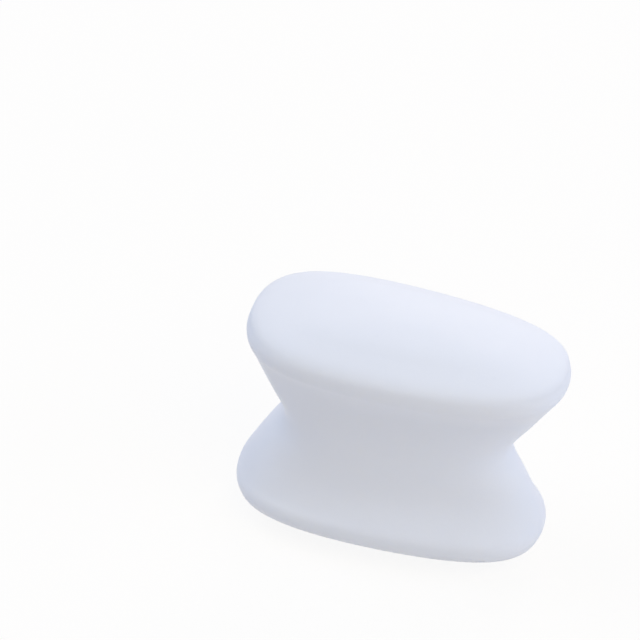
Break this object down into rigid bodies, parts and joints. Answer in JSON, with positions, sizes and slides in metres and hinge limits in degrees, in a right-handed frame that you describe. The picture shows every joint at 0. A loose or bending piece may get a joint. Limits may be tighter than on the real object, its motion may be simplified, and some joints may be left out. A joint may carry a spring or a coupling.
{
  "type": "toe separator",
  "caption": "Soft white gel toe separator: a solid bobbin with crowned oval pads above and below a waist hollowed all round, which sits between toes.",
  "frame": {"origin": "centre of the lower pad's outer face, on the plane that it rests on", "axes": "+X along the pads, from the wide end to the narrow end; +Y across, from one toe to the other; +Z from the lower pad to the upper one"},
  "size_m": [0.035, 0.0186, 0.029],
  "materials": {
    "white_gel": "smooth matte soft gel, white and slightly bluish"
  },
  "bodies": {
    "root": {"separator_body": "white_gel"}
  },
  "joints": []
}
